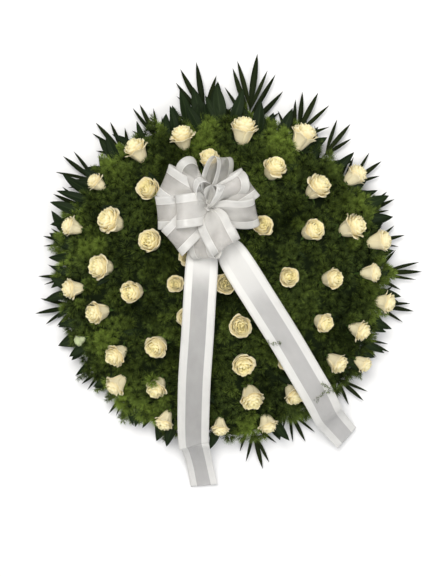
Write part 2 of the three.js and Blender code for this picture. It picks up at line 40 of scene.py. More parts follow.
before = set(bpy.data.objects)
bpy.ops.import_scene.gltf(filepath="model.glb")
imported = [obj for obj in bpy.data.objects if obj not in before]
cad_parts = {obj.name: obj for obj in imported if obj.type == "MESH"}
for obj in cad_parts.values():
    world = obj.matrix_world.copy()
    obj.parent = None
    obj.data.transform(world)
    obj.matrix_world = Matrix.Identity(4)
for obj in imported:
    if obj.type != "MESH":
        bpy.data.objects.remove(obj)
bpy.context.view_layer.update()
MM = 0.001
UP = Vector((0, 0, 1))
# How thick petals and leaves are, and ribbon, in millimetres.
LEAF_THICK, RIBBON_THICK = 0.5, 0.35
QUARTERS = ("right", "top", "left", "bottom")

# The bed of fern, in millimetres, as the solids have it.
BED_RADIUS, BED_FOOT, BED_TOP, BED_FULLNESS, BED_CLUMP = 356, 33, 102, 2.6, 7
FOAM_RADIUS = 268

# The roses: the middle of each head and its width, then how far it is sunk and its lean in
# degrees, where these aren't 0.
ROSES = [
    (-191, 284, 58), (-88, 312, 56), (49, 330, 64), (183, 315, 66), (-28, 260, 50, 4),
    (117, 242, 56), (302, 229, 54), (-281, 211, 44), (-162, 194, 56, 0, -20), (214, 200, 60),
    (-336, 112, 48), (-248, 125, 62), (-158, 79, 56), (90, 112, 50, 8), (201, 103, 54),
    (293, 112, 62), (355, 81, 56), (-270, 22, 58), (-334, -26, 50), (-198, -33, 54),
    (-101, -15, 42), (9, -15, 52, 4), (146, 0, 48), (245, -4, 50), (333, 9, 46), (-277, -79, 54),
    (-79, -88, 44, 4), (40, -108, 54), (225, -101, 46), (308, -119, 50), (368, -57, 50),
    (-235, -174, 54), (-145, -154, 54), (47, -194, 54), (141, -185, 44, 6), (256, -191, 50),
    (317, -194, 40), (-235, -240, 50), (-145, -246, 50), (66, -268, 58), (161, -262, 50, 4),
    (-127, -321, 46), (-4, -334, 42), (102, -328, 46), (-74, 44, 44, 6),
]
ROSEBUD = (-316, -141, 26)

# Layers of petals from the outside in: how many, the radius of the belly, the radius and
# height of the lip, how far the lip curls back and half a petal's width in radians. The sizes
# are shares of the head's radius.
PETAL_LAYERS = [
    (5, 0.77, 0.86, 1.22, 0.17, 0.88),
    (5, 0.74, 0.79, 1.38, 0.12, 0.86),
    (5, 0.70, 0.69, 1.49, 0.08, 0.86),
    (5, 0.67, 0.59, 1.54, 0.06, 0.88),
    (5, 0.56, 0.48, 1.58, 0.04, 0.90),
    (5, 0.45, 0.37, 1.60, 0.03, 0.92),
    (5, 0.35, 0.27, 1.62, 0.03, 0.95),
    (4, 0.25, 0.17, 1.62, 0.02, 1.10),
    (3, 0.15, 0.07, 1.60, 0.00, 1.35),
]
# How finely the petals of the outer, middle and heart layers are divided: columns and rows.
PETAL_GRIDS = [(9, 8)] * 2 + [(7, 7)] * 3 + [(6, 6)] * 4

# Where the fern is brightest: its clumps there take the bright green.
BRIGHT_FERN = [
    (-237, 244), (-285, 70), (-336, 137), (-17, 338), (146, 290), (310, 168), (-255, -138),
    (-355, 41), (-218, -266), (-168, -301), (349, -74), (382, -31), (66, -325), (-50, 296),
]

# Palm fronds: the root round the rim and the way the rib points in degrees, how far from the
# middle the tip reaches, the leaflets' length, their pairs and the rib's rise in degrees.
FRONDS = [
    (80, 82, 507, 84, 5, -1), (95, 99, 486, 76, 5, -3), (115, 116, 430, 56, 3, -3),
    (128, 131, 448, 62, 4, -3), (143, 142, 448, 58, 3, -1), (153, 155, 422, 52, 3, -3),
    (167, 167, 412, 50, 3, -2), (180, 179, 412, 50, 3, -2), (191, 191, 426, 56, 3, -1),
    (217, 218, 396, 44, 3, -2), (230, 231, 398, 44, 3, -1), (281, 284, 440, 54, 3, -2),
    (297, 297, 414, 50, 3, -1), (319, 319, 422, 52, 3, -2), (336, 336, 412, 50, 3, -1),
    (350, 350, 438, 56, 3, -2), (2, 1, 450, 56, 3, -2), (13, 13, 422, 50, 3, -2),
    (24, 25, 426, 52, 3, -1), (36, 36, 444, 56, 3, -2), (50, 50, 450, 56, 3, -2),
    (62, 63, 468, 66, 4, -3),
]
# How far out fronds and leaves start, the height of each kind, and how much of a rib is bare.
LEAF_ROOT, FROND_LEVEL, BROAD_LEVEL, RIB_BARE = 281, 19.1, 22.1, 34

# Broad leaves: the root round the rim, the way each points and its length.
BROAD_LEAVES = [
    (72, 74, 110), (107, 106, 112), (122, 123, 96), (147, 149, 108), (162, 162, 118),
    (203, 202, 120), (248, 249, 118), (262, 262, 92), (290, 289, 110), (308, 307, 90),
    (328, 327, 94), (343, 343, 104), (18, 20, 104), (43, 43, 114),
]

# The leaves that come up out of the bed: the way out and the distance of the root, the way
# each points and its rise in degrees, its length and its width.
BED_LEAVES = [
    (141, 318, 150, 24, 66, 22), (132, 330, 122, 20, 74, 24), (150, 330, 164, 14, 78, 20),
    (156, 338, 150, 10, 72, 24), (161, 316, 176, 18, 60, 20), (172, 330, 186, 10, 62, 24),
    (179, 322, 168, 14, 66, 20), (186, 334, 194, 8, 64, 22), (108, 330, 96, 22, 70, 20),
    (98, 322, 112, 20, 76, 26), (86, 332, 72, 18, 84, 26), (90, 340, 100, 12, 86, 30),
    (76, 330, 84, 22, 78, 28), (68, 330, 58, 16, 72, 24), (57, 334, 66, 16, 66, 20),
    (44, 330, 34, 18, 66, 22), (33, 338, 44, 12, 62, 20), (22, 334, 12, 14, 60, 20),
    (8, 336, 20, 10, 56, 18), (355, 336, 344, 10, 60, 20), (341, 338, 350, 10, 54, 18),
    (326, 326, 334, 12, 56, 20), (311, 330, 302, 12, 54, 18), (290, 330, 298, 12, 62, 24),
    (268, 334, 262, 10, 58, 22), (252, 330, 246, 12, 62, 26), (238, 326, 244, 12, 56, 20),
    (222, 326, 214, 12, 54, 18), (206, 330, 214, 12, 58, 22), (198, 322, 190, 14, 58, 20),
    (93, 352, 80, 6, 92, 30), (97, 350, 106, 8, 88, 28), (103, 348, 90, 5, 84, 28),
    (128, 232, 100, 34, 52, 24), (147, 262, 170, 30, 54, 26), (178, 236, 214, 30, 46, 18),
    (24, 170, 318, 34, 44, 9), (300, 250, 330, 30, 46, 14), (62, 262, 20, 30, 50, 22),
    (215, 214, 180, 32, 46, 18), (262, 240, 284, 30, 42, 16), (338, 250, 20, 30, 42, 14),
]

# How many more leaves stand out round the edge, and the arc in degrees that has none.
UNDER_LEAVES, UNDER_GAP = 64, (246, 316)

# How many sprigs stand out of the fern, and the arc in degrees whose rim has none.
SPRIGS, SPRIG_GAP = 130, (255, 300)

# Thin twigs of fern that arch over the edges of the right tail, and the steps along each.
TWIG_STEPS = 31
SPRIG_PATHS = [
    [(62, -128, 118), (78, -134, 146), (96, -140, 164), (112, -142, 168), (124, -141, 166)],
    [(196, -286, 92), (204, -268, 128), (216, -252, 146), (229, -246, 148), (240, -246, 142)],
    [(266, -236, 92), (252, -238, 128), (238, -240, 146), (226, -236, 149), (216, -230, 148)],
]
# Rounded clumps that bulge over the rim and over a few roses: the place, the height above the
# bed and the radius.
POMPOMS = [
    (-219, -280, 4, 19), (-246, -228, 8, 17), (-169, -302, 6, 19), (-142, -308, 8, 18),
    (-150, -222, 22, 19), (-214, -254, 6, 17), (-258, -138, 20, 18), (-266, 72, 12, 18),
    (146, 286, 10, 18), (312, 166, 10, 18), (352, -74, 8, 16), (-338, 140, 8, 17),
]

# The bow: the knot, and each loop's turn, rise, reach and half opening, then the turn and the
# rise of its width at the far end.
KNOT = Vector((-31, 148, 154))
KNOT_RADIUS = 15
LOOPS = [
    (149, 20, 114, 17, 66, 14), (188, 14, 110, 15, 95, 12), (227, 17, 112, 15, 129, 0),
    (268, 20, 116, 14, 0, 46), (296, 33, 110, 20, 35, 0), (355, 18, 108, 16, 104, 34),
    (30, 22, 110, 15, 125, 10), (72, 20, 114, 12, 188, 60), (114, 38, 96, 15, 124, -12),
    (194, 47, 88, 19, 92, 0), (41, 42, 93, 11, 24, 4),
]

# The width of the ribbon that the tails' widths below are for, in metres.
RIBBON_WIDTH = 0.07

# The tails: points down the middle of each with the width there and the twist in degrees.
TAIL_LEFT = [
    (-42, 141, 145, 15, 0), (-41, 104, 143, 30, 0), (-42, 74, 145, 46, 0), (-43, 48, 149, 64, 0),
    (-44, 16, 154, 70, 0), (-48, -50, 157, 70, 0), (-53, -135, 154, 70, 0),
    (-59, -222, 144, 70, 0), (-62, -311, 120, 69, 0), (-62, -362, 100, 67, 0),
    (-60, -373, 92, 66, 10), (-56, -391, 66, 64, 14), (-49, -426, 34, 62, 16),
    (-40, -474, 12, 62, 10),
]
TAIL_RIGHT = [
    (-25, 141, 145, 15, 0), (-7, 104, 143, 30, 0), (6, 74, 145, 46, 0), (20, 50, 149, 64, 0),
    (40, 17, 154, 70, 0), (82, -50, 157, 70, 0), (136, -136, 154, 70, 0), (187, -222, 144, 70, 0),
    (213, -266, 129, 70, 0), (233, -304, 107, 68, 2), (249, -324, 66, 66, -6),
    (284, -364, 24, 64, -8),
]


def polar(degrees, radius, height=0.0):
    turn = radians(degrees)
    return Vector((radius * cos(turn), radius * sin(turn), height))


def lerp(a, b, share):
    return a + (b - a) * share


def smooth(share):
    share = min(1.0, max(0.0, share))
    return share * share * (3 - 2 * share)


def turned(start, heading, climb=0.0, roll=0.0):
    """A place that looks along +X, turned to a heading, then raised and rolled, in degrees."""
    place = Matrix.Translation(start) @ Matrix.Rotation(radians(heading), 4, "Z")
    place = place @ Matrix.Rotation(radians(-climb), 4, "Y")
    return place @ Matrix.Rotation(radians(roll), 4, "X")


class Maker:
    """Gathers the points and faces of one piece, in millimetres, with marks on its points."""

    def __init__(self):
        self.points, self.faces, self.slots, self.marks = [], [], [], {}

    def add(self, points, faces, slot=0, where=None, **marks):
        """Points, which a place may turn and move, and faces; a mark is one number or a list."""
        start = len(self.points)
        self.points.extend([where @ p for p in points] if where else points)
        self.faces.extend([tuple(start + i for i in face) for face in faces])
        self.slots.extend([slot] * len(faces))
        for name, values in marks.items():
            row = self.marks.setdefault(name, [])
            row.extend([0.0] * (start - len(row)))
            row.extend(values if isinstance(values, list) else [values] * len(points))

    def piece(self, name, finishes, record_slot, replaced=(), thick=0.0):
        mesh = bpy.data.meshes.new(name)
        mesh.from_pydata([Vector(p) * MM for p in self.points], [], self.faces)
        for mark, values in self.marks.items():
            values.extend([0.0] * (len(self.points) - len(values)))
            mesh.attributes.new(mark, "FLOAT", "POINT").data.foreach_set("value", values)
        mesh.polygons.foreach_set("material_index", self.slots)
        return dress(name, mesh, finishes, replaced, thick)


def dress(name, mesh, finishes, replaced=(), thick=0.0):
    """A piece from a mesh: its finishes, its body and the nodes that it stands for."""
    mesh.polygons.foreach_set("use_smooth", [True] * len(mesh.polygons))
    for finish in finishes:
        mesh.materials.append(finish_named(finish))
    mesh.update()
    piece = bpy.data.objects.new(name, mesh)
    bpy.context.scene.collection.objects.link(piece)
    if thick:
        shell = piece.modifiers.new("thickness", "SOLIDIFY")
        shell.thickness = thick * MM
        shell.offset = 0
    if replaced:
        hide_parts(*replaced)
    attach(piece, "root")
    return piece


def quads(columns, rows, closed=False):
    """Faces of a grid of points, row by row; closed joins each row's last point to its first."""
    faces = []
    for row in range(rows - 1):
        for column in range(columns if closed else columns - 1):
            a = row * columns + column
            b = row * columns + (column + 1) % columns
            faces.append((a, b, b + columns, a + columns))
    return faces


def along_at(path, i):
    """The way that a path runs at one of its points."""
    return (path[min(i + 1, len(path) - 1)] - path[max(i - 1, 0)]).normalized()


def tube(path, radii, sides=6):
    """Points and faces of a round stalk along a path, closed at both ends."""
    points = []
    for i, (middle, radius) in enumerate(zip(path, radii)):
        along = along_at(path, i)
        side = along.orthogonal().normalized()
        other = along.cross(side)
        for k in range(sides):
            turn = 2 * pi * k / sides
            points.append(middle + (side * cos(turn) + other * sin(turn)) * radius)
    faces = quads(sides, len(path), closed=True)
    faces.append(tuple(reversed(range(sides))))
    faces.append(tuple(range(sides * (len(path) - 1), sides * len(path))))
    return points, faces


# Finishes

class Value:
    """A shader socket that takes part in Python arithmetic."""

    def __init__(self, finish, socket):
        self.finish, self.socket = finish, socket

    def maths(self, operation, *values):
        return self.finish.node("ShaderNodeMath", {"operation": operation}, 0, *values)

    def __add__(self, other):
        return self.maths("ADD", self, other)

    __radd__ = __add__

    def __sub__(self, other):
        return self.maths("SUBTRACT", self, other)

    def __rsub__(self, other):
        return self.maths("SUBTRACT", other, self)

    def __mul__(self, other):
        return self.maths("MULTIPLY", self, other)

    __rmul__ = __mul__

    def __abs__(self):
        return self.maths("ABSOLUTE", self)

    def over(self, edge, blur):
        """0 below the edge and 1 above it, changing over a blur."""
        steps = {"interpolation_type": "SMOOTHSTEP"}
        return self.finish.node("ShaderNodeMapRange", steps, 0, self, edge - blur, edge + blur)


class Finish:
    """A material in the making, on one Principled shader."""

    def __init__(self, name, **constants):
        self.material = bpy.data.materials.new(name)
        self.material.use_nodes = True
        self.tree = self.material.node_tree
        self.shader = self.tree.nodes["Principled BSDF"]
        for socket, value in constants.items():
            self.socket(socket).default_value = value

    def socket(self, name):
        return self.shader.inputs[name.replace("_", " ")]

    def node(self, kind, settings, output, *values, **named):
        """One output of a node, from its settings and its sockets' values or links. None skips
        a socket."""
        made = self.tree.nodes.new(kind)
        for setting, value in settings.items():
            setattr(made, setting, value)
        for key, value in [*enumerate(values), *named.items()]:
            socket = made.inputs[key]
            if isinstance(value, Value):
                self.tree.links.new(value.socket, socket)
            elif value is not None:
                socket.default_value = value
        return Value(self, made.outputs[output])

    def marks(self, *names):
        """The piece's own marks, as Maker left them on its points."""
        return [self.node("ShaderNodeAttribute", {"attribute_name": n}, "Fac") for n in names]

    def place(self):
        return self.node("ShaderNodeTexCoord", {}, "Object")

    def joined(self, x, y, z=0.0):
        return self.node("ShaderNodeCombineXYZ", {}, 0, x, y, z)

    def cloud(self, scale, detail=2.0, where=None):
        """Soft noise, over the whole object where no other place is given."""
        where = where or self.place()
        return self.node("ShaderNodeTexNoise", {}, "Fac", Vector=where, Scale=scale, Detail=detail)

    def bands(self, x, distortion=0.0):
        """Soft stripes that follow one another as x grows."""
        where, across = self.joined(x, 0.0), {"bands_direction": "X"}
        wave = {"Vector": where, "Scale": 1.0, "Distortion": distortion}
        return self.node("ShaderNodeTexWave", across, "Fac", **wave)

    def blend(self, share, low, high):
        """A colour between two colours, either of which may be a colour value."""
        pair = [c if isinstance(c, Value) else (*c, 1.0) for c in (low, high)]
        return self.node("ShaderNodeMix", {"data_type": "RGBA"}, 2, share, *[None] * 5, *pair)

    def feed(self, **sockets):
        for name, value in sockets.items():
            self.tree.links.new(value.socket, self.socket(name))

    def bump(self, height, strength, distance):
        """Relief from a height; the distance is in millimetres."""
        sockets = {"Strength": strength, "Distance": distance * MM, "Height": height}
        self.feed(Normal=self.node("ShaderNodeBump", {}, 0, **sockets))


# Light goes equally far into petals and ribbon in red, green and blue.
EVEN = (1, 1, 1)


def petal_finish(name, pale, warm, edge):
    """Pale outer petals and a warm heart, with fine veins and a few tips of another colour. On the
    roses the warm heart is partly their own yellow and partly painted light, lighter than the
    outer petals to lift the shade deep in the head.
    """
    finish = Finish(
        name, Roughness=0.6, Specular_IOR_Level=0.2,
        Subsurface_Weight=0.4, Subsurface_Scale=0.006, Subsurface_Radius=EVEN,
    )
    depth, along, side, petal_number = finish.marks("depth", "along", "side", "petal")
    veins = finish.cloud(3.0, 3.0, finish.joined(side * 9, along * 1.6, petal_number))
    mottle = finish.cloud(60.0)
    # The inner layers and the petals' feet take the warm colour: on the roses both their own
    # yellow and painted light in the shaded depths of the head.
    tint = depth * 0.9 + (1 - along) * 0.3 + (veins - 0.5) * 0.3
    colour = finish.blend(tint, pale, warm)
    tips = along.over(0.93, 0.08) * (1 - depth) * mottle.over(0.55, 0.1)
    finish.feed(Base_Color=finish.blend(tips * 0.4, colour, edge))
    finish.bump(veins + mottle * 0.4, 0.3, 0.5)
    return finish.material


def green_finish(name, dark, light, bright, roughness=0.6):
    """Leaves and needles: dark at the root, lighter at the tip, with clumps of a bright green. On
    the fern's needles the dark end is painted shade, deep in the clumps.
    """
    finish = Finish(name, Roughness=roughness, Specular_IOR_Level=0.06)
    tip, tone = finish.marks("tip", "tone")
    mottle = finish.cloud(90.0)
    colour = finish.blend(tip + (mottle - 0.5) * 0.4, dark, light)
    finish.feed(Base_Color=finish.blend(tone * (0.25 + tip * 0.75), colour, bright))
    return finish.material


def leaf_finish(name, dark, light, vein_colour, specular):
    """A leaf with a rib and slanting veins."""
    finish = Finish(name, Specular_IOR_Level=specular)
    along, side, tone = finish.marks("along", "side", "tone")
    veins = finish.bands(along * 9 - abs(side) * 3, 0.6)
    rib = 1 - abs(side).over(0.07, 0.05)
    mottle = finish.cloud(45.0, 3.0)
    colour = finish.blend(tone * 0.6 + mottle * 0.5, dark, light)
    finish.feed(
        Base_Color=finish.blend(rib * 0.6 + veins * 0.1, colour, vein_colour),
        Roughness=0.36 + mottle * 0.3,
    )
    finish.bump(veins * 0.6 + rib, 0.5, 0.4)
    return finish.material


# Where the satin borders begin, as a share of half the ribbon's width, and their edge's blur.
BORDER, BORDER_BLUR = 0.52, 0.012


def ribbon_finish(name, sheer_colour, border_colour, cover, gather_and_sheen, reach, border_cover=0.95):
    """White satin borders, with a sheer woven band between them that covers less. Within reach of
    the knot, in metres, the band bunches up, so it covers more there, and it is painted whiter
    there: a painted sheen on the tails and painted light in the bow's shaded knot."""
    finish = Finish(
        name, Specular_IOR_Level=0.5,
        Subsurface_Weight=0.5, Subsurface_Scale=0.003, Subsurface_Radius=EVEN,
    )
    across, along = finish.marks("across", "length")
    border = abs(across).over(BORDER, BORDER_BLUR)
    ends, measure = (finish.place(), tuple(KNOT * MM)), {"operation": "DISTANCE"}
    from_knot = finish.node("ShaderNodeVectorMath", measure, "Value", *ends)
    near = (1 - from_knot.over(reach, 0.3 * reach)) * gather_and_sheen
    threads = finish.bands(across * 60)
    watered = finish.cloud(1.0, 2.0, finish.joined(across * 1.5, along * 26))
    seam = (1 - abs(abs(across) - BORDER).over(0.02, BORDER_BLUR)) * 0.3
    sheer = cover + near * 0.7 + (watered - 0.5) * 0.2 + threads * 0.04
    finish.feed(
        # Painted sheen and light: near the knot the band's colour is blended towards the white
        # satin.
        Base_Color=finish.blend(border + (1 - border) * near, sheer_colour, border_colour),
        Roughness=0.42 - border * 0.1 + watered * 0.1,
        Alpha=sheer + border * (border_cover - cover) + seam,
    )
    finish.bump(threads * 0.2 + watered, 0.15, 0.3)
    return finish.material


def foam_finish():
    finish = Finish("floral foam", Roughness=0.95)
    cells = finish.cloud(900.0, 1.0)
    finish.feed(Base_Color=finish.blend(cells, (0.02, 0.07, 0.03), (0.06, 0.16, 0.07)))
    finish.bump(cells, 0.6, 0.4)
    return finish.material


def backing_finish():
    finish = Finish("pressed backing", Roughness=0.85)
    beads = finish.cloud(260.0)
    tint = beads * 0.5 + finish.cloud(12.0, 3.0) * 0.5
    finish.feed(Base_Color=finish.blend(tint, (0.62, 0.63, 0.60), (0.80, 0.81, 0.78)))
    finish.bump(beads, 0.4, 0.5)
    return finish.material


def pick_finish():
    finish = Finish("dyed wood pick", Roughness=0.7)
    grain = finish.cloud(180.0, 2.0, finish.joined(finish.place(), 0.0))
    finish.feed(Base_Color=finish.blend(grain, (0.03, 0.10, 0.03), (0.08, 0.20, 0.07)))
    return finish.material


def make_finishes(s):
    """Every finish, from the settings."""
    return (
        petal_finish("rose petal", s.petal_outer, s.petal_heart_lit, (0.62, 0.62, 0.40)),
        petal_finish("rosebud petal", (0.56, 0.62, 0.36), (0.36, 0.46, 0.16), (0.30, 0.40, 0.14)),
        green_finish("rose stem", (0.012, 0.03, 0.006), (0.05, 0.09, 0.02), (0.08, 0.13, 0.03)),
        green_finish("fern needle", s.fern_shaded_root, s.fern_tip, s.fern_bright),
        # The core's near-black greens are painted shade.
        green_finish(
            "shaded fern core", (0.004, 0.007, 0.002), (0.010, 0.016, 0.005), (0.02, 0.04, 0.01), 0.9
        ),
        leaf_finish("palm leaflet", s.palm_dark, s.palm_light, (0.026, 0.034, 0.012), 0.04),
        leaf_finish("broad leaf", s.leaf_dark, s.leaf_light, (0.028, 0.046, 0.015), 0.08),
        # For the bow and each tail, the last numbers say how much the band bunches and is painted
        # whiter near the knot, and how far from it that reaches in metres.
        ribbon_finish("bow satin and sheer", s.sheer, s.satin, s.bow_cover, 0.75, 0.08, 0.62),
        ribbon_finish(
            "left satin and sheer", s.tail_sheer, s.satin, s.tail_cover * 0.78, 0.85, 0.15
        ),
        ribbon_finish("right satin and sheer", s.tail_sheer, s.satin, s.tail_cover, 0.75, 0.20),
        foam_finish(),
        backing_finish(),
        pick_finish(),
    )


FINISHES = {}


def finish_named(name):
    """The finish of that name; all of them are made when the first is asked for."""
    if not FINISHES:
        made = make_finishes(bpy.context.scene.wreath)
        FINISHES.update({material.name: material for material in made})
    return FINISHES[name]


# Roses

# The dome that the heads stand on: the height of its edge, its rise and its radius. Then the
# tilt in degrees at the rim and the most there is, and the radius of the rim.
HEADS_EDGE, HEADS_RISE, HEADS_REACH = 34, 98, 400
RIM_TILT, MOST_TILT, RIM = 75, 78, 350


def rose_place(x, y, across, sunk=0, lean=0):
    """Where a head stands on its bed, tilted outward more towards the rim."""
    radius = hypot(x, y)
    tilt = radians(min(MOST_TILT, RIM_TILT * (radius / RIM) ** 1.7) + lean)
    faces = Vector((x / radius * sin(tilt), y / radius * sin(tilt), cos(tilt)))
    height = HEADS_EDGE + HEADS_RISE * math.sqrt(1 - (radius / HEADS_REACH) ** 2) - sunk
    foot = Vector((x, y, height)) - faces * 0.43 * across
    turn = UP.rotation_difference(faces)
    return Matrix.Translation(foot) @ turn.to_matrix().to_4x4()


# How much longer a head is than its layers say, and how far its foot goes down for that, as a
# share of its radius.
HEAD_LENGTH, HEAD_DROP = 1.3, 0.45

ROSE_PLACES = {spot: rose_place(*spot) for spot in (*ROSES, ROSEBUD)}


def bezier(share, a, b, c, d):
    rest = 1 - share
    return tuple(
        rest**3 * p + 3 * rest**2 * share * q + 3 * rest * share**2 * r + share**3 * s
        for p, q, r, s in zip(a, b, c, d)
    )


def petal(radius, layer, turn, draw, columns, rows, opening, flare):
    """One petal: cupped at the foot, rounded and curled back at the lip. With flare the head is
    narrow at its foot and wide at its lip."""
    _, belly, lip_radius, lip_height, curl, half = layer
    foot = belly * (1.05 - 0.42 * flare)
    belly *= 1 - 0.24 * flare
    outer = smooth(lip_radius * 1.6 - 0.6)
    lip_radius *= 1 + 0.16 * flare * outer
    lip_height *= draw.uniform(0.96, 1.03) * (1 - 0.14 * opening * outer)
    curl *= draw.uniform(0.5, 1.4) * (0.6 + 0.8 * opening) * (1 - 0.7 * flare * (1 - outer))
    pointed = draw.uniform(0.08, 0.20) * (1 - 0.5 * flare)
    ruffle, phase = draw.uniform(0.015, 0.06), draw.uniform(0, 6.28)
    overlap = draw.choice((-1, 1)) * draw.uniform(0.02, 0.09)
    points, side, along = [], [], []
    for j in range(rows):
        v = j / (rows - 1)
        width = sin(pi * (0.20 + 0.60 * v)) ** 0.8
        for i in range(columns):
            u = 2 * i / (columns - 1) - 1
            rise = v * (1 - pointed * abs(u) ** 1.8)
            bends = (0.10, 0.0), (foot, 0.03), (belly, 0.78 * lip_height), (lip_radius, lip_height)
            out, up = bezier(rise, *bends)
            lip = smooth((rise - 0.66) / 0.34)
            out += curl * lip * (0.9 + 0.15 * u * u)
            up -= curl * 0.9 * lip * lip + 0.04 * abs(u) * lip
            out *= 1 + overlap * u
            waves = sin(3.2 * u + phase) + 0.5 * sin(7.1 * u + 2 * phase)
            out += ruffle * waves * rise**3
            up += 0.6 * ruffle * sin(5.3 * u - phase) * rise**3
            angle = turn + u * half * width
            level = up * HEAD_LENGTH - HEAD_DROP
            points.append(Vector((out * cos(angle), out * sin(angle), level)) * radius)
            side.append(u)
            along.append(rise)
    return points, side, along


# A head's radius without its curled lips, as a share of its width, and how far out the heads
# begin to flare and flare most.
HEAD_RADIUS = 0.475
FLARE_START, FLARE_FULL = 230, 320


def add_rose(maker, spot, draw):
    """The petals of one head. Towards the rim the heads flare like a cup."""
    radius = HEAD_RADIUS * spot[2]
    from_middle = hypot(*spot[:2])
    flare = smooth((from_middle - FLARE_START) / (FLARE_FULL - FLARE_START))
    flare *= draw.uniform(0.6, 1.0)
    opening = draw.random() * (1 - 0.3 * flare)
    spin = draw.uniform(0, 2 * pi)
    for number, (layer, (columns, rows)) in enumerate(zip(PETAL_LAYERS, PETAL_GRIDS)):
        count = layer[0]
        spin += draw.uniform(0.45, 0.8)
        depth = (number / (len(PETAL_LAYERS) - 1)) ** 0.8
        for k in range(count):
            turn = spin + 2 * pi * (k + draw.uniform(-0.14, 0.14)) / count
            points, side, along = petal(radius, layer, turn, draw, columns, rows, opening, flare)
            maker.add(
                points, quads(columns, rows), where=ROSE_PLACES[spot],
                side=side, along=along, depth=depth, petal=draw.uniform(0, 9),
            )


def add_stalk(maker, where, across, length, draw):
    """The stem, the green cup under the petals and its five sepals."""
    down = -HEAD_DROP * across / 2
    stem = [UP * z for z in (-length, (down - length) / 2, down - 3, down)]
    cup = [UP * (down + z * across) for z in (-0.02, 0.03, 0.08, 0.12)]
    cup_radii = [across * share for share in (0.06, 0.14, 0.15, 0.10)]
    maker.add(*tube(stem, (2.4, 2.4, 2.5, 3.4)), 1, where, tip=0.5)
    maker.add(*tube(cup, cup_radii, 8), 1, where, tip=0.6)
    for k in range(5):
        turn = 2 * pi * (k + draw.uniform(-0.15, 0.15)) / 5
        droop = draw.uniform(0.2, 1.0)
        rows = []
        for j in range(5):
            share = j / 4
            out = across * (0.10 + 0.36 * share)
            up = down + across * (0.10 + 0.10 * share - 0.24 * droop * share * share)
            wide = across * 0.055 * sin(pi * (0.25 + 0.74 * share))
            for edge in (-1, 0, 1):
                spot = Vector((out, edge * wide, up + 0.02 * across * abs(edge)))
                rows.append(Matrix.Rotation(turn, 4, "Z") @ spot)
        maker.add(rows, quads(3, 5), 1, where, tip=[0.3 + 0.5 * (i // 3) / 4 for i in range(15)])


def make_roses(settings):
    for number, spot in enumerate([*ROSES, ROSEBUD], 1):
        bud = spot is ROSEBUD
        draw = random.Random(700 + number)
        maker = Maker()
        add_rose(maker, spot, draw)
        add_stalk(maker, ROSE_PLACES[spot], spot[2], settings.stem_length / MM, draw)
        node = "rosebud" if bud else f"rose_{number:02d}"
        petals, record_slot = ("rosebud petal", "bud") if bud else ("rose petal", "petal")
        maker.piece(f"{node}_bloom", [petals, "rose stem"], record_slot, [node], LEAF_THICK)


# Fern

def bed_point(degrees, angle, lift=0.0):
    """A point on the bed: angle runs from 0 at the rim to 90 at the top, lift is out of it."""
    power = 2 / BED_FULLNESS
    turn = radians(angle)
    level, rise = max(0.0, cos(turn)), max(0.0, sin(turn))
    height = BED_FOOT + (BED_TOP - BED_FOOT) * rise**power
    spot = polar(degrees, BED_RADIUS * level**power, height)
    wave = sin(0.031 * spot.x + 0.9) * sin(0.027 * spot.y + 0.4)
    wave += 0.6 * sin(0.047 * (spot.x + spot.y))
    out = 1 + BED_CLUMP * sin(0.041 * spot.x - 0.035 * spot.y) / BED_RADIUS
    humped = Vector((spot.x * out, spot.y * out, spot.z + BED_CLUMP * wave * rise))
    return humped + bed_normal(spot) * lift


def bed_normal(spot):
    """The way out of the bed, level at the rim and upright at the top."""
    radius = max(1e-6, hypot(spot.x, spot.y))
    level = min(1.0, radius / BED_RADIUS) ** (BED_FULLNESS - 1) / BED_RADIUS
    tall = BED_TOP - BED_FOOT
    upright = min(1.0, max(0.0, (spot.z - BED_FOOT) / tall)) ** (BED_FULLNESS - 1) / tall
    return Vector((spot.x / radius * level, spot.y / radius * level, upright)).normalized()


def bed_top(degrees, radius):
    """The bed's surface straight above a place in the plan."""
    share = min(0.999, radius / BED_RADIUS)
    return bed_point(degrees, math.degrees(math.acos(share ** (BED_FULLNESS / 2))))


def make_fern_core():
    """The inside of the fern, under the needles, in a near-black green: painted shade for the deep
    gaps between the clumps.
    """
    columns, rows = 120, 22
    maker = Maker()
    points = [polar(360 * i / columns, FOAM_RADIUS + 0.6, BED_FOOT + 0.5) for i in range(columns)]
    for j in range(rows):
        angle = 90 * j / (rows - 1)
        for i in range(columns):
            spot = bed_point(360 * i / columns, min(angle, 89.9), -6.0)
            points.append(spot + bed_normal(spot) * noise.noise(spot * 0.05) * 6)
    maker.add(points, quads(columns, rows + 1, closed=True), tip=0.4)
    maker.piece("fern_core", ["shaded fern core"], "fern")


def from_segment(spot, start, end):
    """The distance from a spot to a straight line, and how far along it the nearest point is."""
    span = end - start
    share = min(1.0, max(0.0, (spot - start).dot(span) / span.length_squared))
    return (start + span * share - spot).length, share


# The fern's greatest heights, under the bow and elsewhere, and how far the bow and a tail reach.
BOW_CEILING, FERN_CEILING = 134.0, 140.0
BOW_REACH, TAIL_REACH = 125, 42


def ceiling(spot):
    """The greatest height for the fern at a spot: it stays under the bow and the tails."""
    level = Vector(spot[:2])
    top = BOW_CEILING if (level - Vector(KNOT[:2])).length < BOW_REACH else FERN_CEILING
    for tail in (TAIL_LEFT, TAIL_RIGHT):
        for a, b in zip(tail, tail[1:]):
            away, share = from_segment(level, Vector(a[:2]), Vector(b[:2]))
            if away < TAIL_REACH:
                top = min(top, lerp(a[2], b[2], share) - 5)
    return top


def rose_room(spot):
    """How far a spot is from the nearest rose head, less most of the head's radius."""
    room = 1000.0
    for rose in (*ROSES, ROSEBUD):
        if hypot(rose[0] - spot.x, rose[1] - spot.y) > 90:
            continue
        where = ROSE_PLACES[rose]
        foot, lip = (where @ (UP * share * rose[2]) for share in (0.2, 0.8))
        room = min(room, from_segment(spot, foot, lip)[0] - 0.38 * rose[2])
    return room


